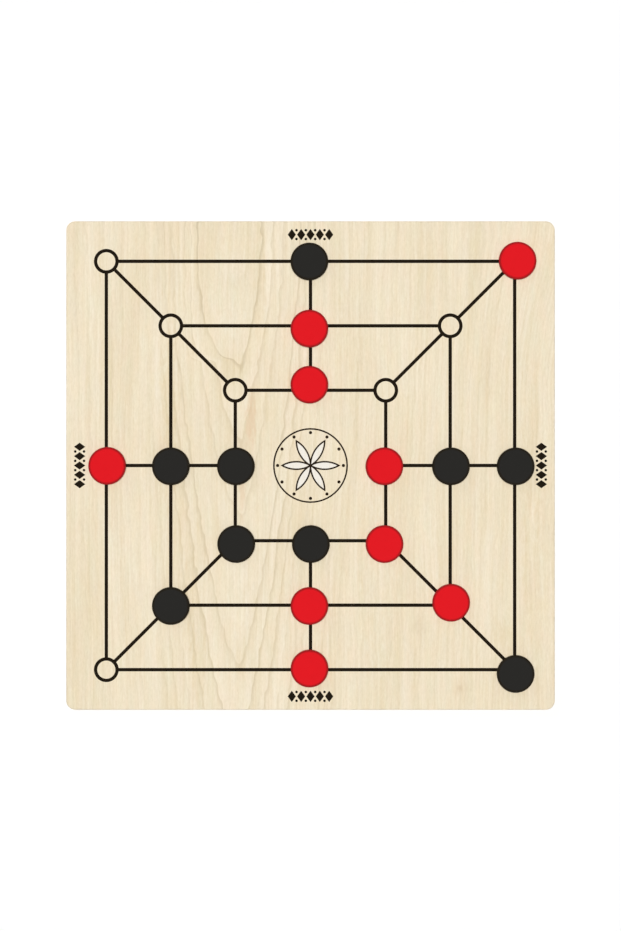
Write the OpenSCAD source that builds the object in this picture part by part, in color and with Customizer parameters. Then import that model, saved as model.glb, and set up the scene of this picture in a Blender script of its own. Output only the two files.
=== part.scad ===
// Twelve stones board: a plywood morris board with diagonals, and the stones of a game in play.
// The board lies flat, its underside on z = 0 and its centre over the origin. Lengths are in mm.
// +Y points away from the near player and +X to that player's right.

/* [Board] */
// Side of the square board
board_w = 300; // [270:5:360]
// Radius of the board's corners, seen from above
corner_r = 5.5; // [2:0.5:12]
// Width of the bevel along the board's upper and lower edges
edge_bevel = 0.5; // [0.2:0.1:0.6]

/* [Plies] */
// Thickness of the face veneer and of the back veneer
veneer_t = 0.9; // [0.8:0.1:1.6]
// Thickness of each of the two crossbands
crossband_t = 1.4; // [0.8:0.1:3]
// Thickness of the core ply
core_t = 1.4; // [0.8:0.1:4]

/* [Grid] */
// Distance from the board's edge to the outer square's line
edge_margin = 24.6; // [22:0.2:30]
// Distance from one square's line to the next square's line
square_gap = 39.6; // [34:0.2:41]
// Width of the grid's lines
line_w = 2.1; // [0.8:0.1:2.4]
// Outer diameter of the ring that marks each point
point_d = 15.3; // [11:0.1:19]
// Width of that ring's line
ring_w = 2.1; // [1:0.1:2.4]

/* [Ornament] */
// Outer diameter of the rosette at the board's centre
rosette_d = 46; // [36:1:54]
// Width of the rosette's lines
rosette_line_w = 1; // [0.5:0.1:1.4]
// Diameter of the dots between the rosette's ring and its petals
rosette_dot_d = 2; // [1.2:0.1:3]
// Gap from the ring to a dot, and from a dot to the tip of a petal
rosette_gap = 0.8; // [0.5:0.1:1.5]
// Length of the row of lozenges at each side of the board
row_l = 28; // [22:1:34]
// Height of the row's lozenges
row_h = 7; // [4:0.2:8]
// Gap between two lozenges of a row
lozenge_gap = 0.7; // [0.5:0.1:1.2]
// Diameter of the dots in the notches between them
row_dot_d = 1.6; // [0.8:0.1:2]
// Distance from the board's edge to the row's centre line
row_inset = 8.2; // [6:0.2:9]

/* [Engraving] */
// Depth of every engraved line below the face
engrave_depth = 0.5; // [0.3:0.05:0.7]
// Distance that the paint in a line stays below the face
paint_drop = 0.1; // [0.05:0.05:0.2]

/* [Stones] */
// Diameter of a stone
stone_d = 23.2; // [18:0.2:28]
// Thickness of a stone
stone_t = 5; // [3:0.5:8]
// Radius of the round along a stone's two rims
stone_round = 1.2; // [0.4:0.1:1.4]

/* [Hidden] */
$fn = 96;
maple = "#eee0c4";
poplar = "#e3cda2";
poplar_end_grain = "#c9a877";
paint_black = "#1d1710";
paint_brown = "#3c2d1e";
paint_cream = "#f2ebdc";
stone_red = "#e31e25";
stone_black = "#2b2a28";

// Heights of the plies' undersides, from the table up
lower_crossband_z = veneer_t;
core_z = lower_crossband_z + crossband_t;
upper_crossband_z = core_z + core_t;
face_veneer_z = upper_crossband_z + crossband_t;
board_t = face_veneer_z + veneer_t;

// How far from the rosette's centre its dots and the tips of its petals lie
rosette_dots_at = rosette_d / 2 - rosette_line_w - rosette_gap - rosette_dot_d / 2;
petal_tips_at = rosette_dots_at - rosette_dot_d / 2 - rosette_gap;
// The compass that draws the middle of the petals' lines, so that the lines' outer sides meet at the tips
compass_r = (pow(petal_tips_at, 2) - pow(rosette_line_w / 2, 2)) / (petal_tips_at + rosette_line_w);

// Each square's name, and the distance from the board's centre to its lines
SQUARES = [
    ["outer", board_w / 2 - edge_margin],
    ["middle", board_w / 2 - edge_margin - square_gap],
    ["inner", board_w / 2 - edge_margin - 2 * square_gap],
];

// Each direction's name and the way it goes from the board's centre
DIRECTIONS = [
    ["n", [0, 1]], ["ne", [1, 1]], ["e", [1, 0]], ["se", [1, -1]],
    ["s", [0, -1]], ["sw", [-1, -1]], ["w", [-1, 0]], ["nw", [-1, 1]],
];

// Each stone's colour, the square and the direction of its point, and how far off that point it stands
STONES = [
    ["black", "outer", "n", [-0.7, -0.2]],
    ["red", "outer", "ne", [1.7, 0.3]],
    ["black", "outer", "e", [0.5, -0.5]],
    ["black", "outer", "se", [0.5, -2.5]],
    ["red", "outer", "s", [-0.6, 0.8]],
    ["red", "outer", "w", [0.6, -0.2]],
    ["red", "middle", "n", [-0.7, -1.8]],
    ["black", "middle", "e", [0.4, -0.5]],
    ["red", "middle", "se", [0.5, 1.6]],
    ["red", "middle", "s", [-0.7, -0.4]],
    ["black", "middle", "sw", [0.1, -0.4]],
    ["black", "middle", "w", [0.1, -0.5]],
    ["red", "inner", "n", [-0.7, 3.4]],
    ["red", "inner", "e", [-0.9, -0.5]],
    ["red", "inner", "se", [-0.8, -2]],
    ["black", "inner", "s", [0.2, -2]],
    ["black", "inner", "sw", [0.6, -2]],
    ["black", "inner", "w", [0.4, -0.5]],
];

// The value that goes with a name in one of the lists above
function look_up(list, name) = list[search([name], list)[0]][1];

// Where the lines meet: the point of one square in one direction
function point_at(square, direction) = look_up(SQUARES, square) * look_up(DIRECTIONS, direction);

// The node of one stone in the list above
function stone_node(entry) = str(entry[0], "_stone_", entry[1], "_", entry[2]);

// Every place where a point lies, with its children drawn there
module at_each_point() {
    for (square = SQUARES, direction = DIRECTIONS)
        translate(square[1] * direction[1])
            children();
}

// A ply with rounded corners, and a bevel of the given width along its upper and its lower edges.
// One section runs across the board both ways, and a quarter turn of its end makes each corner.
module ply(thickness, upper_bevel = 0, lower_bevel = 0) {
    straight = board_w - 2 * corner_r;

    // The section's outer end, from the middle of the board or of a corner out to the edge
    function section(reach) = [
        [0, 0],
        [reach - lower_bevel, 0],
        if (lower_bevel > 0) [reach, lower_bevel],
        if (upper_bevel > 0) [reach, thickness - upper_bevel],
        [reach - upper_bevel, thickness],
        [0, thickness],
    ];

    for (turn = [0, 90])
        rotate([0, 0, turn])
            rotate([90, 0, 0])
                linear_extrude(straight, center = true)
                    for (side = [0, 1])
                        mirror([side, 0])
                            polygon(section(board_w / 2));

    for (corner = [0:3])
        rotate([0, 0, corner * 90])
            translate([straight / 2, straight / 2])
                rotate_extrude(angle = 90)
                    polygon(section(corner_r));
}

// One stretch of the grid's lines between two points, cut to the outside of both points' rings.
// With into_rings it runs on to the middle of the rings' own lines.
module grid_line(a, b, into_rings) {
    run = b - a;
    stop = point_d / 2 - (into_rings ? ring_w / 2 : 0);

    difference() {
        translate(a)
            rotate(atan2(run[1], run[0]))
                translate([into_rings ? stop : 0, -line_w / 2])
                    square([norm(run) - (into_rings ? 2 * stop : 0), line_w]);
        if (!into_rings)
            for (end = [a, b])
                translate(end)
                    circle(stop);
    }
}

// Three squares, and the eight lines that join them at their corners and at the middles of their sides
module grid_lines(into_rings = false) {
    for (i = [0:len(DIRECTIONS) - 1]) {
        here = DIRECTIONS[i][1];
        next = DIRECTIONS[(i + 1) % len(DIRECTIONS)][1];
        for (square = SQUARES)
            grid_line(square[1] * here, square[1] * next, into_rings);
        for (s = [0:len(SQUARES) - 2])
            grid_line(SQUARES[s][1] * here, SQUARES[s + 1][1] * here, into_rings);
    }
}

module point_rings() {
    at_each_point()
        difference() {
            circle(point_d / 2);
            circle(point_d / 2 - ring_w);
        }
}

// The rosette's ring, and twelve dots just inside it
module rosette_border() {
    dots = 12;

    difference() {
        circle(rosette_d / 2);
        circle(rosette_d / 2 - rosette_line_w);
    }
    for (i = [0:dots - 1])
        rotate(i * 360 / dots)
            translate([rosette_dots_at, 0])
                circle(d = rosette_dot_d);
}

// The rosette's six petals, out to the given distance from the middle of the compass's line.
// Each is where two circles of the compass overlap, with their centres a third of a turn apart.
// It fills its own sixth of the rosette, and laps a few degrees over its neighbours.
module petals(from_line) {
    count = 6;
    lap = 3;
    half_turn = 180 / count + lap;
    reach = rosette_d / 2;

    for (i = [0:count - 1])
        rotate(i * 360 / count)
            intersection() {
                polygon([[0, 0], [reach, -reach * tan(half_turn)], [reach, reach * tan(half_turn)]]);
                intersection_for (side = [-60, 60])
                    rotate(side)
                        translate([compass_r, 0])
                            circle(compass_r + from_line);
            }
}

// A row of lozenges lying along X, with a dot in each notch between two of them
module lozenge_row() {
    lozenges = 5;
    pitch = (row_l + lozenge_gap) / lozenges;
    half_w = (pitch - lozenge_gap) / 2;
    half_h = row_h / 2;

    for (i = [0:lozenges - 1])
        translate([(i - (lozenges - 1) / 2) * pitch, 0]) {
            polygon([[half_w, 0], [0, half_h], [-half_w, 0], [0, -half_h]]);
            if (i > 0)
                for (side = [-1, 1])
                    translate([-pitch / 2, side * (half_h - row_dot_d / 2)])
                        circle(d = row_dot_d);
        }
}

module side_rows() {
    for (turn = [0:3])
        rotate(turn * 90)
            translate([0, -(board_w / 2 - row_inset)])
                lozenge_row();
}

// The space that the engraving tool clears below the face
module engraved() {
    above_face = 1;
    translate([0, 0, board_t - engrave_depth])
        linear_extrude(engrave_depth + above_face)
            children();
}

// Paint that lies on an engraved line's floor, between its walls
module paint(colour) {
    color(colour)
        translate([0, 0, board_t - engrave_depth])
            linear_extrude(engrave_depth - paint_drop)
                children();
}

module back_veneer() {
    color(maple)
        ply(veneer_t, lower_bevel = edge_bevel);
}

module crossband(underside) {
    color(poplar_end_grain)
        translate([0, 0, underside])
            ply(crossband_t);
}

module core_ply() {
    color(poplar)
        translate([0, 0, core_z])
            ply(core_t);
}

module face_veneer() {
    color(maple)
        difference() {
            translate([0, 0, face_veneer_z])
                ply(veneer_t, upper_bevel = edge_bevel);
            engraved() {
                grid_lines(into_rings = true);
                point_rings();
            }
            engraved() {
                rosette_border();
                petals(rosette_line_w / 2);
            }
            engraved()
                side_rows();
        }
}

module grid_line_paint() {
    paint(paint_black)
        grid_lines();
}

module point_ring_paint() {
    paint(paint_black)
        point_rings();
}

module rosette_paint() {
    paint(paint_brown) {
        rosette_border();
        difference() {
            petals(rosette_line_w / 2);
            petals(-rosette_line_w / 2);
        }
    }
}

module petal_paint() {
    paint(paint_cream)
        petals(-rosette_line_w / 2);
}

module side_row_paint() {
    paint(paint_black)
        side_rows();
}

// A turned disc with rounded rims, standing on the board's face with its centre over the given place
module stone(colour, place) {
    stone_r = stone_d / 2;
    color(colour == "red" ? stone_red : stone_black)
        translate(concat(place, board_t))
            rotate_extrude()
                union() {
                    square([stone_r - stone_round, stone_t]);
                    translate([0, stone_round])
                        square([stone_r, stone_t - 2 * stone_round]);
                    for (rim = [stone_round, stone_t - stone_round])
                        translate([stone_r - stone_round, rim])
                            circle(stone_round);
                }
}

back_veneer();
crossband(lower_crossband_z);  // lower_crossband
core_ply();
crossband(upper_crossband_z);  // upper_crossband
face_veneer();
grid_line_paint();
point_ring_paint();
rosette_paint();
petal_paint();
side_row_paint();
for (entry = STONES)
    stone(entry[0], point_at(entry[1], entry[2]) + entry[3]);
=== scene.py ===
import math
import random

import bmesh
import bpy
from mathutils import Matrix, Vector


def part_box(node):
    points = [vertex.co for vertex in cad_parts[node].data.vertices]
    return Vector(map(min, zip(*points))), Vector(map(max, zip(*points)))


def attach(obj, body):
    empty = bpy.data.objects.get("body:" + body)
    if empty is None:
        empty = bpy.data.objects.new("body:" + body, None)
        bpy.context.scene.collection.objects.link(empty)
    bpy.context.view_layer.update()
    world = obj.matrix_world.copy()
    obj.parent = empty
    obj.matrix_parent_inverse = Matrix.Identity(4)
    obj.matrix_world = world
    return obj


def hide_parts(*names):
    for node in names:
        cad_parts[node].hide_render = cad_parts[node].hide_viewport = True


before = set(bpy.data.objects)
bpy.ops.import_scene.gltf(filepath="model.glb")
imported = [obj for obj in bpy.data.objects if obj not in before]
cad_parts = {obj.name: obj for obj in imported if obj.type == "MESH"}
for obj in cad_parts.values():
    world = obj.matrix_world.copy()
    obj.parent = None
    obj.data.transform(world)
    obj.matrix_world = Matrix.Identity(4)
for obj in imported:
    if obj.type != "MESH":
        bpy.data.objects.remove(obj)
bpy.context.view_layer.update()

# Camera
# The photograph looks straight down on the board, with the far player's side at its top. It was
# taken from so far off that no stone shows its side, so the camera has a long lens.
PICTURE_HEIGHT_PX = 931
BOARD_WIDTH_PX = 488.45
LENS_MM = 200
board_low, board_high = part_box("face_veneer")
board_w = board_high.x - board_low.x
picture_height = board_w * PICTURE_HEIGHT_PX / BOARD_WIDTH_PX

lens = bpy.data.cameras.new("camera")
lens.lens = LENS_MM
camera = bpy.data.objects.new("camera", lens)
camera.location = (0, 0, board_high.z + picture_height * LENS_MM / lens.sensor_width)
bpy.context.scene.collection.objects.link(camera)
bpy.context.scene.camera = camera


# Table and studio
# A plain white table top that runs on past the picture, under a softbox hung straight over the
# board, so that nothing on it throws a shadow to one side. A weak sky and two weaker side lamps
# shape what stands upright. Lengths are in metres, and the lamps' angles in degrees.
TABLE_WIDTH = 24
TABLE_DROP = 0.0001
TABLE_WHITE = (0.86, 0.86, 0.86)
TABLE_ROUGHNESS = 0.9
TABLE_GLOW = 0.15
SKY_LEVEL = 0.09
LAMPS = {
    "softbox": {"strength": 2.63, "tilt": 1.5, "azimuth": -142, "softness": 14, "glossy": False},
    "window_side": {"strength": 0.26, "tilt": 60, "azimuth": -142, "softness": 55, "glossy": True},
    "room_side": {"strength": 0.22, "tilt": 62, "azimuth": 28, "softness": 80, "glossy": True},
}


def add_node(tree, kind, inputs=None, **settings):
    """A new shader node. inputs maps its sockets, by name or number, to values or outputs."""
    new = tree.nodes.new("ShaderNode" + kind)
    for name, value in settings.items():
        setattr(new, name, value)
    for key, value in (inputs or {}).items():
        if isinstance(value, bpy.types.NodeSocket):
            tree.links.new(value, new.inputs[key])
        else:
            new.inputs[key].default_value = value
    return new


def calculate(tree, operation, *values):
    """The output of a Math node."""
    return add_node(tree, "Math", dict(enumerate(values)), operation=operation).outputs[0]


def seen_directly(tree):
    """1 where a surface is seen, straight or through gloss or glass, and 0 where it only lights."""
    path = add_node(tree, "LightPath").outputs
    mirrored = calculate(tree, "MAXIMUM", path["Is Glossy Ray"], path["Is Transmission Ray"])
    return calculate(tree, "MAXIMUM", path["Is Camera Ray"], mirrored)


def new_material(name):
    """An empty node material and its tree."""
    material = bpy.data.materials.new(name)
    material.use_nodes = True
    material.node_tree.nodes.clear()
    return material, material.node_tree


def make_table():
    bpy.ops.mesh.primitive_plane_add(size=TABLE_WIDTH, location=(0, 0, -TABLE_DROP))
    table = bpy.context.object
    table.name = "table"
    material, tree = new_material("white_table")
    top = add_node(tree, "BsdfPrincipled", {
        "Base Color": (*TABLE_WHITE, 1),
        "Roughness": TABLE_ROUGHNESS,
        "Specular IOR Level": 0,
        "Emission Color": (1, 1, 1, 1),
        "Emission Strength": calculate(tree, "MULTIPLY", seen_directly(tree), TABLE_GLOW),
    })
    add_node(tree, "OutputMaterial", {"Surface": top.outputs[0]})
    table.data.materials.append(material)


def make_sky():
    world = bpy.data.worlds.new("sky")
    world.use_nodes = True
    bpy.context.scene.world = world
    tree = world.node_tree
    tree.nodes.clear()
    levels = {"Value": seen_directly(tree), "To Min": SKY_LEVEL, "To Max": 1}
    strength = add_node(tree, "MapRange", levels).outputs[0]
    sky = add_node(tree, "Background", {"Color": (1, 1, 1, 1), "Strength": strength})
    add_node(tree, "OutputWorld", {"Surface": sky.outputs[0]})


def make_lamp(name, strength, tilt, azimuth, softness, glossy):
    light = bpy.data.lights.new(name, "SUN")
    light.energy = strength
    light.angle = math.radians(softness)
    lamp = bpy.data.objects.new(name, light)
    lamp.rotation_euler = (math.radians(tilt), 0, math.radians(azimuth))
    lamp.visible_glossy = glossy
    bpy.context.scene.collection.objects.link(lamp)


make_table()
make_sky()
for name, lamp in LAMPS.items():
    make_lamp(name, **lamp)
bpy.context.scene.view_settings.view_transform = "Standard"


# Plywood
# Three inner plies of poplar, glued crosswise: a crossband with its grain along X on each side of
# a core ply. They show only at the board's sawn and sanded edge, as long grain on two sides and as
# end grain on the other two, with a thin brown glue line between one ply and the next.
POPLAR_PALE = (0.80, 0.66, 0.45, 1)
POPLAR_DARK = (0.64, 0.48, 0.29, 1)
POPLAR_END = (0.50, 0.35, 0.19, 1)
POPLAR_ROUGHNESS = 0.68
POPLAR_SURFACE = {"shine": 0.2, "relief": 0.00006, "strength": 0.7}
GLUE_BROWN = (0.22, 0.13, 0.07, 1)
GLUE_WIDTH_MM = 0.09
GLUE_WAVER_SIZE = (1.5, 1.5, 1.5)
MM_PER_M = 1000
# How wide the noises of wood are along each axis, in mm, where the fibres lie along Y.
BAND_SIZE = (6.5, 190, 6.5)
STREAK_SIZE = (1.5, 90, 1.5)
HAIR_SIZE = (0.55, 8, 0.55)
PORE_SIZE = (0.22, 3, 0.22)
# Where a face begins to cut the fibres straight across, and a pore to show, and where each does so
# in full.
CUT_ACROSS = (0.75, 0.95)
PORE_OPENS = (0.42, 0.62)


def new_group(name, inputs, outputs):
    """A shader node group and its inner ends. inputs maps names to defaults."""
    group = bpy.data.node_groups.new(name, "ShaderNodeTree")
    for socket, value in inputs.items():
        kind = "NodeSocketVector" if isinstance(value, tuple) else "NodeSocketFloat"
        group.interface.new_socket(socket, in_out="INPUT", socket_type=kind).default_value = value
    for socket in outputs:
        group.interface.new_socket(socket, in_out="OUTPUT", socket_type="NodeSocketFloat")
    given = group.nodes.new("NodeGroupInput").outputs
    wanted = group.nodes.new("NodeGroupOutput").inputs
    return group, given, wanted


def use_group(tree, group, inputs):
    """The outputs of one use of a group."""
    return add_node(tree, "Group", inputs, node_tree=group).outputs


def send(tree, wanted, sources):
    """Feeds the inner ends of a group's outputs. sources maps their names to what feeds them."""
    for name, source in sources.items():
        tree.links.new(source, wanted[name])


def axis_of(tree, vector, axis):
    """One part of a vector: X, Y or Z."""
    return add_node(tree, "SeparateXYZ", {0: vector}).outputs[axis]


def calculate_vector(tree, operation, *vectors):
    """The vector that a Vector Math node gives."""
    inputs = dict(enumerate(vectors))
    return add_node(tree, "VectorMath", inputs, operation=operation).outputs["Vector"]


def ramp(tree, value, start, end):
    """A smooth step: 0 up to start and 1 from end on. It falls where end is less than start."""
    edges = {"Value": value, "From Min": start, "From Max": end}
    return add_node(tree, "MapRange", edges, interpolation_type="SMOOTHSTEP").outputs[0]


def mix_colours(tree, factor, a, b):
    """Colour a where factor is 0 and b where it is 1."""
    return add_node(tree, "Mix", {0: factor, 6: a, 7: b}, data_type="RGBA").outputs[2]


def noise(tree, vector, size, detail=2):
    """Smooth noise round 0.5. size gives the width of its patches along each axis, in mm."""
    scaled = calculate_vector(tree, "MULTIPLY", vector, tuple(MM_PER_M / s for s in size))
    return add_node(tree, "TexNoise", {"Vector": scaled, "Scale": 1, "Detail": detail}).outputs[0]


def swing(tree, value):
    """How far a noise is above or below its middle."""
    return calculate(tree, "SUBTRACT", value, 0.5)


def blend_of(tree, *weighted):
    """0.5 plus the weighted swings of several noises. weighted holds pairs: output, weight."""
    total = 0.5
    for value, weight in weighted:
        total = calculate(tree, "MULTIPLY_ADD", swing(tree, value), weight, total)
    return total


def point_and_normal(tree):
    """The place of each point in its node, in metres, and the way its surface faces."""
    coordinates = add_node(tree, "TexCoord").outputs
    return coordinates["Object"], coordinates["Normal"]


def finish_surface(tree, colour, roughness, height, shine, relief, strength):
    """Ends a material with its shader. Its height stands up by at most relief, in metres."""
    bump = add_node(tree, "Bump", {"Height": height, "Distance": relief, "Strength": strength})
    surface = add_node(tree, "BsdfPrincipled", {
        "Base Color": colour,
        "Roughness": roughness,
        "Specular IOR Level": shine,
        "Normal": bump.outputs[0],
    })
    add_node(tree, "OutputMaterial", {"Surface": surface.outputs[0]})


def finish_node(node, material):
    """Gives a node of the frame its material."""
    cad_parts[node].data.materials.clear()
    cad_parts[node].data.materials.append(material)


def make_fibre_group():
    """Wood fibre along Y: broad bands, streaks and fine hairs, each round 0.5."""
    outputs = ["Band", "Streak", "Hair"]
    group, given, wanted = new_group("wood_fibre", {"Vector": (0, 0, 0)}, outputs)
    send(group, wanted, {
        "Band": noise(group, given["Vector"], BAND_SIZE, detail=1),
        "Streak": noise(group, given["Vector"], STREAK_SIZE, detail=3),
        "Hair": noise(group, given["Vector"], HAIR_SIZE),
    })
    return group


def make_end_grain_group():
    """Cut is 1 on a face straight across fibres that lie along Y, and 0 on one along them. Pores
    is a noise round 0.5 for the pores that show in a cut face."""
    inputs = {"Normal": (0, 0, 1), "Vector": (0, 0, 0)}
    group, given, wanted = new_group("end_grain", inputs, ["Cut", "Pores"])
    across = calculate(group, "ABSOLUTE", axis_of(group, given["Normal"], "Y"))
    send(group, wanted, {
        "Cut": ramp(group, across, *CUT_ACROSS),
        "Pores": noise(group, given["Vector"], PORE_SIZE),
    })
    return group


def make_glue_line_group():
    """Line is 1 within about Width of the glue under and over a ply, which reaches up by Thickness
    from Underside. All three are in mm."""
    inputs = {"Vector": (0, 0, 0), "Underside": 0, "Thickness": 1, "Width": 0.1}
    group, given, wanted = new_group("glue_line", inputs, ["Line"])
    height = axis_of(group, given["Vector"], "Z")
    under = calculate(group, "MULTIPLY", given["Underside"], -1)
    above = calculate(group, "MULTIPLY_ADD", height, MM_PER_M, under)
    below = calculate(group, "SUBTRACT", given["Thickness"], above)
    nearest = calculate(group, "MINIMUM", above, below)
    waver = swing(group, noise(group, given["Vector"], GLUE_WAVER_SIZE))
    reach = calculate(group, "MULTIPLY_ADD", waver, given["Width"], given["Width"])
    send(group, wanted, {"Line": calculate(group, "LESS_THAN", nearest, reach)})
    return group


fibre = make_fibre_group()
end_grain = make_end_grain_group()
glue_line = make_glue_line_group()


def poplar_material(node, grain_along_x):
    material, tree = new_material(f"poplar_{node}")
    low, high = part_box(node)
    point, normal = point_and_normal(tree)
    if grain_along_x:
        turn = {"Axis": (0, 0, 1), "Angle": math.radians(90)}
        point = add_node(tree, "VectorRotate", {"Vector": point, **turn}).outputs[0]
        normal = add_node(tree, "VectorRotate", {"Vector": normal, **turn}).outputs[0]
    grain = use_group(tree, fibre, {"Vector": point})
    cut = use_group(tree, end_grain, {"Normal": normal, "Vector": point})
    shade = blend_of(tree, (grain["Band"], 0.8), (grain["Streak"], 1.6), (grain["Hair"], 0.8))
    long_grain = mix_colours(tree, shade, POPLAR_PALE, POPLAR_DARK)
    open_pores = ramp(tree, cut["Pores"], *PORE_OPENS)
    sawn_end = mix_colours(tree, open_pores, POPLAR_END, POPLAR_DARK)
    wood = mix_colours(tree, cut["Cut"], long_grain, sawn_end)
    ply = {
        "Vector": point,
        "Underside": low.z * MM_PER_M,
        "Thickness": (high.z - low.z) * MM_PER_M,
        "Width": GLUE_WIDTH_MM,
    }
    wood = mix_colours(tree, use_group(tree, glue_line, ply)["Line"], wood, GLUE_BROWN)
    height = blend_of(tree, (grain["Hair"], 0.6), (cut["Pores"], 0.8))
    finish_surface(tree, wood, POPLAR_ROUGHNESS, height, **POPLAR_SURFACE)
    return material


for ply in ["lower_crossband", "core_ply", "upper_crossband"]:
    finish_node(ply, poplar_material(ply, grain_along_x=ply != "core_ply"))


# Face veneer
# A single sheet of pale maple with its grain along Y, sliced so that the growth rings show as slim
# arches left of the middle and as straight lines to the right. It has tan bands, pale patches, red
# mineral streaks and two pin knots, and is engraved, sanded and sealed with a satin clear lacquer.
MAPLE_PALE = (0.944, 0.841, 0.664, 1)
MAPLE_DARK = (0.785, 0.664, 0.448, 1)
MAPLE_END = (0.62, 0.47, 0.29, 1)
RING_LINE = (0.54, 0.44, 0.285, 1)
MINERAL_RED = (0.78, 0.56, 0.36, 1)
KNOT_BROWN = (0.60, 0.43, 0.25, 1)
ENGRAVING_STAIN = (0.045, 0.030, 0.018, 1)
FACE_FIGURE = {
    "Heart X": -43, "Lean": 0.01, "Depth": 92.33, "Tilt": 0.0563, "Ring Width": 2.588,
    "First Ring": 337, "Left Point": 7.6, "Right Point": 18, "Shoulder": 10, "Shoulder Y": 63,
    "Straight Y": 115, "Sweep": 18, "Wander": 8, "Waver": 4,
}
# How the growth rings bend, in mm. A pair gives where a change starts and where it is full.
DRIFT_SIZE = (45, 130, 45)
WAVER_SIZE = (6, 11, 6)
TIP_ROUND = 1.2
CORNER_ACROSS = (75, 150)
CORNER_ALONG = (45, 165)
SHOULDER_RISE = (0, 6)
SHOULDER_SIDES = [(0, -10), (-42, -26)]
LEVELLING = 40
# How they show: first distances in mm, then levels of a noise, shares of a ring and strengths.
NEAR_HEART = (62, 20)
LINE_BEGINS = (0, 0.4)
LINE_ENDS = (2.3, 0.5)
DARK_WOOD_ENDS = (7, 0)
BREAK_SIZE = (12, 34, 12)
LINE_WHOLE = (0.3, 0.52)
DARK_SHARE = (0.5, 0)
PALE_SHARE = (0.3, 0.8)
FAR_OUT_STRENGTH = 0.2
BROKEN_STRENGTH = 0.4
PALE_DEPTH = 0.7
# Patches of the maple's colour, in mm, and how much they and the rings change it.
MOTTLE_SIZE = (0.9, 2.4, 0.9)
CLOUD_SIZE = (34, 80, 34)
ROSE_SIZE = (5, 18, 5)
LEAF_SIZE = (7, 22, 7)
DASH_SIZE = (0.5, 2.8, 0.5)
DASH_EDGE = (0.66, 0.78)
DASH_DEPTH = 0.2
MOTTLE_DEPTH = 0.06
RED_DRIFT = {"hue": 0.08, "cloud": 0.014}
GREEN_DRIFT = {"hue": 0.06, "cloud": -0.012}
BLUE_DRIFT = {"hue": -0.06, "cloud": -0.03}
RING_SHADE = 0.22
RING_LINE_DEPTH = 0.45
# Marks in the sheet, in mm: the place of each across and along the board, its half width and half
# length, and last how deep its tint is, from 0 to 1. Each goes right through the veneer.
TAN_BANDS = [
    (-110, 85, 8, 70, 0.2), (-86, 40, 8, 75, 0.8), (-81, -35, 6, 42, 0.3), (-75, -82, 7, 40, 0.4),
    (-68, -124, 7, 38, 0.4), (-31, 102, 6, 55, 0.55), (-50, 62, 11, 14, 0.4), (-8, -15, 8, 80, 0.3),
    (136, 10, 10, 75, 0.4), (136, -75, 9, 75, 0.4), (118, -103, 9, 12, 0.5),
]
PALE_PATCHES = [
    (-51, 108, 15, 46, 0.45), (-43, -80, 10, 46, 0.3), (-119, -60, 8, 50, 0.3),
    (42, -65, 15, 85, 0.5), (8, 75, 20, 60, 0.3),
]
MINERAL_STREAKS = [(-36.5, 28, 5, 25, 0.55), (-42, -14, 3, 26, 0.4)]
PIN_KNOTS = [(67.5, -99.5, 7, 10, 0.15), (92.1, -137, 7, 9, 0.14), (91.6, -136.5, 2.4, 3, 0.3)]
MARK_HEIGHT = 5.5
MARK_HALF_HEIGHT = 40
MARK_FADE = (1, 0.1)
RAGGED_SIZE = (1.6, 6, 1.6)
RAGGED_DEPTH = 1.6
# The lacquer over the sheet, and the walls of the engraving in it. The margin keeps the board's own
# edge out of them, in metres.
LACQUER = {"Satin": 0.44, "Smudge": 0.14}
LACQUER_SURFACE = {"shine": 0.25, "relief": 0.00004, "strength": 0.6}
SMUDGE_SIZE = (26, 26, 26)
COAT_SIZE = (0.9, 0.9, 0.9)
WALL_UPRIGHT = (0.7, 0.3)
EDGE_MARGIN = 0.002


def scale_vector(tree, vector, factor):
    return add_node(tree, "VectorMath", {0: vector, "Scale": factor}, operation="SCALE").outputs[0]


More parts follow.
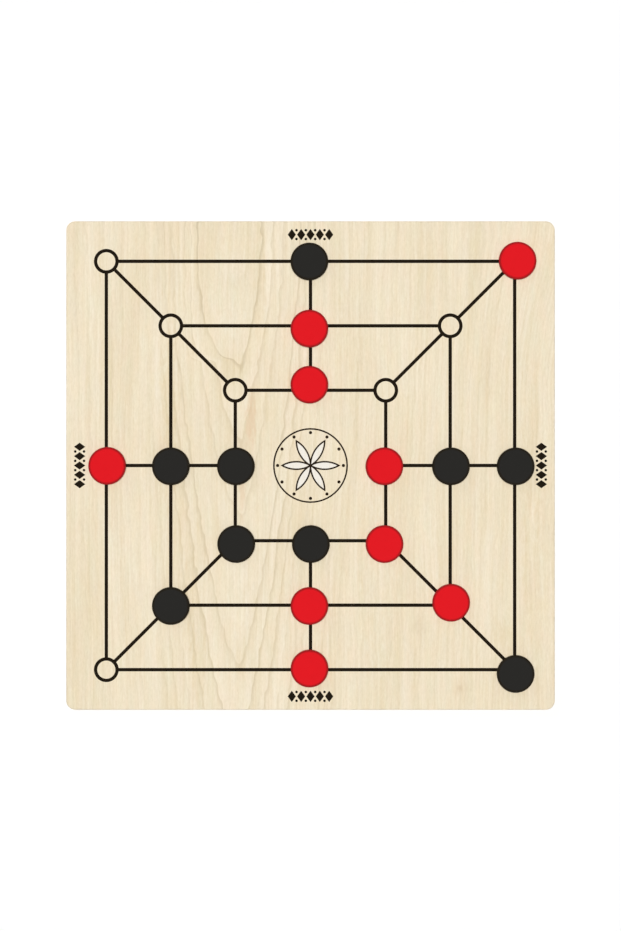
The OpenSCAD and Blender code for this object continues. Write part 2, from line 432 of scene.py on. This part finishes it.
def make_growth_ring_group():
    """Growth rings of a log nearly along Y, cut by a flat slice. Sizes are in mm. Left Point and
    Right Point say how pointed the arches are to either side of the heart, and from Shoulder Y on
    they reach Shoulder further to the left. From Straight Y on the log lies level with the slice.
    At the far right corner the fibres lean aside by Sweep. Line marks the thin late wood of a ring.
    Shade is above 0 in the darker wood beyond it, and below 0 in the pale wood before the next
    line. Across is the distance from the pith and Sideways the place across the fibres, both in
    metres."""
    inputs = {
        "Vector": (0, 0, 0), "Heart X": 0, "Lean": 0, "Depth": 60, "Tilt": 0.04, "Ring Width": 4,
        "First Ring": 0, "Left Point": 0, "Right Point": 0, "Shoulder": 0, "Shoulder Y": 0,
        "Straight Y": 0, "Sweep": 0, "Wander": 8, "Waver": 2,
    }
    outputs = ["Line", "Shade", "Across", "Sideways"]
    group, given, wanted = new_group("growth_rings", inputs, outputs)

    def length(a, b):
        squares = calculate(group, "MULTIPLY_ADD", a, a, calculate(group, "MULTIPLY", b, b))
        return calculate(group, "SQRT", squares)

    def at_least(lowest, mask):
        return calculate(group, "MULTIPLY_ADD", mask, 1 - lowest, lowest)

    in_mm = scale_vector(group, given["Vector"], MM_PER_M)
    place = add_node(group, "SeparateXYZ", {0: in_mm}).outputs
    drift = swing(group, noise(group, given["Vector"], DRIFT_SIZE))
    waver = swing(group, noise(group, given["Vector"], WAVER_SIZE, detail=1))
    sideways = calculate(group, "MULTIPLY_ADD", drift, given["Wander"], place["X"])
    swept = ramp(group, place["X"], *CORNER_ACROSS)
    swept = calculate(group, "MULTIPLY", swept, ramp(group, place["Y"], *CORNER_ALONG))
    swept = calculate(group, "MULTIPLY", swept, given["Sweep"])
    sideways = calculate(group, "SUBTRACT", sideways, swept)

    heart = calculate(group, "MULTIPLY_ADD", place["Y"], given["Lean"], given["Heart X"])
    wavering = calculate(group, "MULTIPLY_ADD", waver, given["Waver"], sideways)
    from_heart = calculate(group, "SUBTRACT", wavering, heart)
    past_shoulder = calculate(group, "SUBTRACT", place["Y"], given["Shoulder Y"])
    shoulder = ramp(group, past_shoulder, *SHOULDER_RISE)
    for side in SHOULDER_SIDES:
        shoulder = calculate(group, "MULTIPLY", shoulder, ramp(group, from_heart, *side))
    from_heart = calculate(group, "MULTIPLY_ADD", shoulder, given["Shoulder"], from_heart)
    along = calculate(group, "SMOOTH_MIN", place["Y"], given["Straight Y"], LEVELLING)
    rise = calculate(group, "MULTIPLY", along, given["Tilt"])
    depth = calculate(group, "SUBTRACT", given["Depth"], rise)
    depth = calculate(group, "SUBTRACT", depth, place["Z"])

    aside = calculate(group, "SUBTRACT", length(from_heart, TIP_ROUND), TIP_ROUND)
    on_right = calculate(group, "GREATER_THAN", from_heart, 0)
    more = calculate(group, "SUBTRACT", given["Right Point"], given["Left Point"])
    point = calculate(group, "MULTIPLY_ADD", on_right, more, given["Left Point"])
    reach = calculate(group, "ADD", aside, point)
    squares = calculate(group, "MULTIPLY", aside, calculate(group, "ADD", reach, point))
    across = calculate(group, "SQRT", calculate(group, "MULTIPLY_ADD", depth, depth, squares))
    rings = calculate(group, "DIVIDE", across, given["Ring Width"])
    ring = calculate(group, "FLOOR", rings)
    past_line = calculate(group, "SUBTRACT", rings, ring)
    fall = calculate(group, "MULTIPLY", depth, given["Tilt"])
    slope = calculate(group, "DIVIDE", length(reach, fall), across)
    to_line = calculate(group, "MULTIPLY", past_line, given["Ring Width"])
    to_line = calculate(group, "DIVIDE", to_line, slope)

    count = calculate(group, "ADD", ring, given["First Ring"])
    strength = add_node(group, "TexWhiteNoise", {"W": count}, noise_dimensions="1D").outputs[0]
    near_heart = at_least(FAR_OUT_STRENGTH, ramp(group, aside, *NEAR_HEART))
    strength = calculate(group, "MULTIPLY", strength, near_heart)
    line = ramp(group, to_line, *LINE_ENDS)
    line = calculate(group, "MULTIPLY", line, ramp(group, to_line, *LINE_BEGINS))
    whole = ramp(group, noise(group, given["Vector"], BREAK_SIZE), *LINE_WHOLE)
    line = calculate(group, "MULTIPLY", line, at_least(BROKEN_STRENGTH, whole))
    shade = ramp(group, to_line, *DARK_WOOD_ENDS)
    shade = calculate(group, "MULTIPLY", shade, ramp(group, past_line, *DARK_SHARE))
    pale_wood = ramp(group, past_line, *PALE_SHARE)
    shade = calculate(group, "MULTIPLY_ADD", pale_wood, -PALE_DEPTH, shade)
    send(group, wanted, {
        "Line": calculate(group, "MULTIPLY", line, strength),
        "Shade": calculate(group, "MULTIPLY", shade, strength),
        "Across": calculate(group, "DIVIDE", across, MM_PER_M),
        "Sideways": calculate(group, "DIVIDE", sideways, MM_PER_M),
    })
    return group


def make_mark_group():
    """A mark in wood, such as a pin knot or a streak, at Centre with half sizes Reach, all in mm.
    Mask is 1 at its middle and fades out raggedly."""
    inputs = {"Vector": (0, 0, 0), "Centre": (0, 0, 0), "Reach": (1, 1, 1)}
    group, given, wanted = new_group("wood_mark", inputs, ["Mask"])
    place = scale_vector(group, given["Vector"], MM_PER_M)
    away = calculate_vector(group, "SUBTRACT", place, given["Centre"])
    share = calculate_vector(group, "DIVIDE", away, given["Reach"])
    distance = add_node(group, "VectorMath", {0: share}, operation="LENGTH").outputs["Value"]
    ragged = swing(group, noise(group, given["Vector"], RAGGED_SIZE, detail=3))
    distance = calculate(group, "MULTIPLY_ADD", ragged, RAGGED_DEPTH, distance)
    send(group, wanted, {"Mask": ramp(group, distance, *MARK_FADE)})
    return group


def make_lacquer_group():
    """A handled satin coat: Roughness varies with smudges, and Height is its faint unevenness."""
    inputs = {"Vector": (0, 0, 0), "Satin": 0.45, "Smudge": 0.1}
    group, given, wanted = new_group("handled_satin", inputs, ["Roughness", "Height"])
    smudges = swing(group, noise(group, given["Vector"], SMUDGE_SIZE, detail=5))
    send(group, wanted, {
        "Roughness": calculate(group, "MULTIPLY_ADD", smudges, given["Smudge"], given["Satin"]),
        "Height": noise(group, given["Vector"], COAT_SIZE),
    })
    return group


growth_rings = make_growth_ring_group()
wood_mark = make_mark_group()
handled_satin = make_lacquer_group()


def maple_wood(tree, point, normal, figure, pale, dark, tone=0):
    """The colour of a sheet of bare maple, and its fibres' height. tone is above 0 where tan."""
    rings = use_group(tree, growth_rings, {"Vector": point, **figure})
    along = axis_of(tree, point, "Y")
    in_rings = add_node(tree, "CombineXYZ", {"X": rings["Across"], "Y": along}).outputs[0]
    in_fibre = add_node(tree, "CombineXYZ", {"X": rings["Sideways"], "Y": along}).outputs[0]
    growth = use_group(tree, fibre, {"Vector": in_rings})
    grain = use_group(tree, fibre, {"Vector": in_fibre})
    mottle = noise(tree, point, MOTTLE_SIZE, detail=3)
    cloud = calculate(tree, "ADD", noise(tree, point, CLOUD_SIZE), tone)
    shade = blend_of(
        tree, (growth["Band"], 0.6), (growth["Streak"], 0.46), (grain["Streak"], 1),
        (grain["Hair"], 0.5), (mottle, 0.5), (cloud, 0.44),
    )
    shade = calculate(tree, "MULTIPLY_ADD", rings["Shade"], RING_SHADE, shade)
    wood = mix_colours(tree, shade, pale, dark)

    rose = swing(tree, noise(tree, point, ROSE_SIZE, detail=4))
    leaf = swing(tree, noise(tree, point, LEAF_SIZE, detail=3))
    drifts = [("X", rose, RED_DRIFT), ("Y", leaf, GREEN_DRIFT), ("Z", rose, BLUE_DRIFT)]
    tint = {}
    for axis, hue, depth in drifts:
        level = calculate(tree, "MULTIPLY_ADD", cloud, depth["cloud"], 1 - depth["cloud"] / 2)
        tint[axis] = calculate(tree, "MULTIPLY_ADD", hue, depth["hue"], level)
    tint = add_node(tree, "CombineXYZ", tint).outputs[0]
    wood = calculate_vector(tree, "MULTIPLY", wood, tint)
    level = calculate(tree, "MULTIPLY_ADD", mottle, -MOTTLE_DEPTH, 1 + MOTTLE_DEPTH / 2)
    wood = scale_vector(tree, wood, level)

    dashes = ramp(tree, noise(tree, point, DASH_SIZE, detail=1), *DASH_EDGE)
    dashes = calculate(tree, "MULTIPLY", dashes, DASH_DEPTH)
    lines = calculate(tree, "MULTIPLY", rings["Line"], RING_LINE_DEPTH)
    wood = mix_colours(tree, calculate(tree, "MAXIMUM", lines, dashes), wood, RING_LINE)
    cut = use_group(tree, end_grain, {"Normal": normal, "Vector": point})
    sawn_end = mix_colours(tree, ramp(tree, cut["Pores"], *PORE_OPENS), MAPLE_END, dark)
    wood = mix_colours(tree, cut["Cut"], wood, sawn_end)
    return wood, blend_of(tree, (grain["Hair"], 0.5), (grain["Streak"], 0.4))


def lacquered(tree, point, wood, height):
    """Finishes a sheet of wood with its clear coat."""
    satin = use_group(tree, handled_satin, {"Vector": point, **LACQUER})
    height = blend_of(tree, (height, 1), (satin["Height"], 0.3))
    finish_surface(tree, wood, satin["Roughness"], height, **LACQUER_SURFACE)


def engraved_walls(tree, point, normal, half_w):
    """1 on the walls of the engraving, 0 on the face and at the board's own edge."""
    level = calculate(tree, "ABSOLUTE", axis_of(tree, normal, "Z"))
    away = calculate_vector(tree, "ABSOLUTE", point)
    away = add_node(tree, "SeparateXYZ", {0: away}).outputs
    furthest = calculate(tree, "MAXIMUM", away["X"], away["Y"])
    inside = calculate(tree, "LESS_THAN", furthest, half_w - EDGE_MARGIN)
    return calculate(tree, "MULTIPLY", inside, ramp(tree, level, *WALL_UPRIGHT))


def marked(tree, point, mark):
    """How deep the tint of a mark is at each point of the face."""
    x, y, half_width, half_length, depth = mark
    reach = (half_width, half_length, MARK_HALF_HEIGHT)
    place = {"Vector": point, "Centre": (x, y, MARK_HEIGHT), "Reach": reach}
    return calculate(tree, "MULTIPLY", use_group(tree, wood_mark, place)["Mask"], depth)


def face_material():
    material, tree = new_material("maple_face")
    point, normal = point_and_normal(tree)
    tone = 0
    for marks, change in ((TAN_BANDS, "ADD"), (PALE_PATCHES, "SUBTRACT")):
        for mark in marks:
            tone = calculate(tree, change, tone, marked(tree, point, mark))
    wood, height = maple_wood(tree, point, normal, FACE_FIGURE, MAPLE_PALE, MAPLE_DARK, tone)
    for marks, colour in ((MINERAL_STREAKS, MINERAL_RED), (PIN_KNOTS, KNOT_BROWN)):
        for mark in marks:
            wood = mix_colours(tree, marked(tree, point, mark), wood, colour)
    walls = engraved_walls(tree, point, normal, board_w / 2)
    wood = mix_colours(tree, walls, wood, ENGRAVING_STAIN)
    lacquered(tree, point, wood, height)
    return material


finish_node("face_veneer", face_material())


# Back veneer
# The sheet under the board, which lies on the table. It is maple of the plainer grade, rotary cut,
# so that its figure is wider and wilder, and it has the same lacquer.
BACK_PALE = (0.86, 0.73, 0.53, 1)
BACK_DARK = (0.69, 0.54, 0.34, 1)
BACK_FIGURE = {
    "Heart X": 34, "Lean": 0.12, "Depth": 21, "Tilt": 0.03, "Ring Width": 2.6, "First Ring": 0,
    "Left Point": 3, "Right Point": 2, "Shoulder": 0, "Shoulder Y": 0, "Straight Y": 200,
    "Sweep": 0, "Wander": 26, "Waver": 4,
}


def back_material():
    material, tree = new_material("maple_back")
    point, normal = point_and_normal(tree)
    lacquered(tree, point, *maple_wood(tree, point, normal, BACK_FIGURE, BACK_PALE, BACK_DARK))
    return material


finish_node("back_veneer", back_material())


# Paint in the engraving
# Brown-black paint, wiped into the engraved lines and dried a little below the face, paler where
# the wiping thinned it. The rosette's fine lines took less and are browner, and its petals are
# filled with a thin cream paint that lets the maple show faintly.
LINE_BLACK = (0.0095, 0.0065, 0.0034, 1)
LINE_WORN = (0.017, 0.011, 0.0052, 1)
ROSETTE_BROWN = (0.016, 0.0095, 0.0045, 1)
ROSETTE_WORN = (0.040, 0.025, 0.013, 1)
PETAL_CREAM = (0.905, 0.862, 0.782, 1)
PETAL_THIN = (0.880, 0.815, 0.690, 1)
DRIED_PAINT = {"Satin": 0.5, "Smudge": 0.2}
PAINT_SURFACE = {"shine": 0.06, "relief": 0.00005, "strength": 0.8}
WIPED_SIZE = (1.4, 5, 1.4)
WIPED_THIN = (0.45, 0.75)
GRIT_SIZE = (0.3, 0.3, 0.3)


def paint_material(name, fresh, worn):
    material, tree = new_material(name)
    point = add_node(tree, "TexCoord").outputs["Object"]
    satin = use_group(tree, handled_satin, {"Vector": point, **DRIED_PAINT})
    thin = ramp(tree, noise(tree, point, WIPED_SIZE, detail=3), *WIPED_THIN)
    paint = mix_colours(tree, thin, fresh, worn)
    height = blend_of(tree, (noise(tree, point, GRIT_SIZE), 0.7), (satin["Height"], 0.6))
    finish_surface(tree, paint, satin["Roughness"], height, **PAINT_SURFACE)
    return material


line_paint = paint_material("line_paint", LINE_BLACK, LINE_WORN)
for node in ["grid_line_paint", "point_ring_paint", "side_row_paint"]:
    finish_node(node, line_paint)
finish_node("rosette_paint", paint_material("rosette_paint", ROSETTE_BROWN, ROSETTE_WORN))
finish_node("petal_paint", paint_material("petal_paint", PETAL_CREAM, PETAL_THIN))


# Stones
# Nine red and nine black discs, sliced from a turned hardwood dowel, rounded by tumbling and
# painted satin. Painted shade darkens the paint in a band round the rim of both faces and down the
# side, and the wood's rings and pores stand through it a little. The shape's lengths are in metres,
# those of the finish in mm.
STONE_ROUND = 0.0012
ROUND_STEPS = 8
FACE_CROWN = 0.00006
CROWN_SHARES = (0, 0.3, 0.55, 0.75, 0.88, 0.96)
CROWN_POWER = 4
STONE_STEPS = 96
RIM_WOBBLE = 0.00004
WOBBLE_COUNTS = (2, 3, 5, 7)
WOBBLE_RANGE = (0.3, 1)
WOBBLE_POWER = 6
TURNS_SEED = 12
# The rim colour of each stone is painted shade of its rounded rim, laid on the faces' edge and the
# side.
STONE_PAINT = {
    "red": {"paint": (0.752, 0.0100, 0.0160, 1), "rim": (0.38, 0.010, 0.012, 1)},
    "black": {"paint": (0.0145, 0.0138, 0.0122, 1), "rim": (0.0088, 0.0058, 0.0016, 1)},
}
STONE_COAT = {"Satin": 0.42, "Smudge": 0.16}
STONE_SURFACE = {"shine": 0.12, "relief": 0.00005, "strength": 0.6}
# Where the rim's painted shade begins and where it is full, as shares of the stone's radius.
RIM_SHARE = (0.83, 0.94)
UNEVEN_SIZE = (3, 3, 3)
UNEVEN_DEPTH = 0.16
DOWEL_PITH = (-19, 7, 0)
DOWEL_RING_WIDTH = 1.7
DOWEL_WAVER = 2.5
DOWEL_WAVER_SIZE = (5, 5, 30)
DOWEL_PORE_SIZE = (0.35, 0.35, 6)


def stone_section(radius, thickness):
    """The outline from the middle of the top to that of the underside, as (radius, height)."""
    flat = radius - STONE_ROUND
    top = []
    for share in CROWN_SHARES:
        top.append((flat * share, thickness - FACE_CROWN * share ** CROWN_POWER))
    for step in range(ROUND_STEPS + 1):
        turn = math.radians(90) * step / ROUND_STEPS
        height = thickness - FACE_CROWN - (STONE_ROUND - FACE_CROWN) * (1 - math.cos(turn))
        top.append((flat + STONE_ROUND * math.sin(turn), height))
    bottom = [(r, thickness - z) for r, z in reversed(top)]
    return top + bottom


def turned_mesh(name, section, seed):
    """A mesh turned from section round Z, a little uneven round its rim as tumbling leaves it."""
    chance = random.Random(seed)
    waves = []
    for count in WOBBLE_COUNTS:
        start = chance.uniform(0, math.tau)
        waves.append((count, start, chance.uniform(*WOBBLE_RANGE) / count))
    full_radius = max(r for r, z in section)
    shape = bmesh.new()
    rings = []
    for r, z in section:
        if r == 0:
            rings.append([shape.verts.new((0, 0, z))])
            continue
        ring = []
        for step in range(STONE_STEPS):
            turn = math.tau * step / STONE_STEPS
            wobble = sum(size * (math.cos(n * turn + start) - 1) for n, start, size in waves)
            out = r + RIM_WOBBLE * wobble * (r / full_radius) ** WOBBLE_POWER
            ring.append(shape.verts.new((out * math.cos(turn), out * math.sin(turn), z)))
        rings.append(ring)
    for above, below in zip(rings, rings[1:]):
        for step in range(STONE_STEPS):
            after = (step + 1) % STONE_STEPS
            if len(above) == 1:
                shape.faces.new((above[0], below[step], below[after]))
            elif len(below) == 1:
                shape.faces.new((above[step], below[0], above[after]))
            else:
                shape.faces.new((above[step], below[step], below[after], above[after]))
    for face in shape.faces:
        face.smooth = True
    mesh = bpy.data.meshes.new(name)
    shape.to_mesh(mesh)
    shape.free()
    return mesh


def make_turned_disc_group():
    """A slice of a dowel that stands on Z = 0, with its sizes in mm. Rim is 1 where painted shade
    darkens the rounded rim, which begins a little way in from the rim. Rings and Fibre are round
    0.5: the growth rings of the end grain, and its pores, which run down the side as fine grooves."""
    inputs = {"Vector": (0, 0, 0), "Radius": 10, "Ring Width": 1.5}
    group, given, wanted = new_group("turned_disc", inputs, ["Rim", "Rings", "Fibre"])
    place = scale_vector(group, given["Vector"], MM_PER_M)
    flat = calculate_vector(group, "MULTIPLY", place, (1, 1, 0))
    out = add_node(group, "VectorMath", {0: flat}, operation="LENGTH").outputs["Value"]
    to_pith = {0: flat, 1: DOWEL_PITH}
    from_pith = add_node(group, "VectorMath", to_pith, operation="DISTANCE").outputs["Value"]
    waver = noise(group, given["Vector"], DOWEL_WAVER_SIZE)
    from_pith = calculate(group, "MULTIPLY_ADD", waver, DOWEL_WAVER, from_pith)
    turns = calculate(group, "DIVIDE", from_pith, given["Ring Width"])
    wave = calculate(group, "SINE", calculate(group, "MULTIPLY", turns, math.tau))
    share = calculate(group, "DIVIDE", out, given["Radius"])
    send(group, wanted, {
        "Rim": ramp(group, share, *RIM_SHARE),
        "Rings": calculate(group, "MULTIPLY_ADD", wave, 0.5, 0.5),
        "Fibre": noise(group, given["Vector"], DOWEL_PORE_SIZE),
    })
    return group


turned_disc = make_turned_disc_group()


def stone_material(name, radius, paint, rim):
    material, tree = new_material(name)
    point = add_node(tree, "TexCoord").outputs["Object"]
    satin = use_group(tree, handled_satin, {"Vector": point, **STONE_COAT})
    disc = {"Vector": point, "Radius": radius * MM_PER_M, "Ring Width": DOWEL_RING_WIDTH}
    disc = use_group(tree, turned_disc, disc)
    uneven = noise(tree, point, UNEVEN_SIZE, detail=3)
    # Painted shade round the rim, made patchy by the uneven noise.
    rim_shade = calculate(tree, "MULTIPLY_ADD", swing(tree, uneven), UNEVEN_DEPTH, disc["Rim"])
    colour = mix_colours(tree, rim_shade, paint, rim)
    height = blend_of(
        tree, (satin["Height"], 0.6), (uneven, 0.4), (disc["Rings"], 0.12), (disc["Fibre"], 0.5),
    )
    finish_surface(tree, colour, satin["Roughness"], height, **STONE_SURFACE)
    return material


stones = sorted(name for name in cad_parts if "_stone_" in name)
first_low, first_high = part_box(stones[0])
stone_r = (first_high.x - first_low.x) / 2
stone_finish = {}
for colour, paint in STONE_PAINT.items():
    stone_finish[colour] = stone_material(f"{colour}_stone", stone_r, **paint)
section = stone_section(stone_r, first_high.z - first_low.z)
chance = random.Random(TURNS_SEED)
for node in stones:
    low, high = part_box(node)
    stone = bpy.data.objects.new(f"turned_{node}", turned_mesh(node, section, node))
    stone.location = ((low.x + high.x) / 2, (low.y + high.y) / 2, low.z)
    stone.rotation_euler.z = chance.uniform(0, math.tau)
    stone.data.materials.append(stone_finish[node.split("_")[0]])
    bpy.context.scene.collection.objects.link(stone)
    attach(stone, node)
    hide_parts(node)
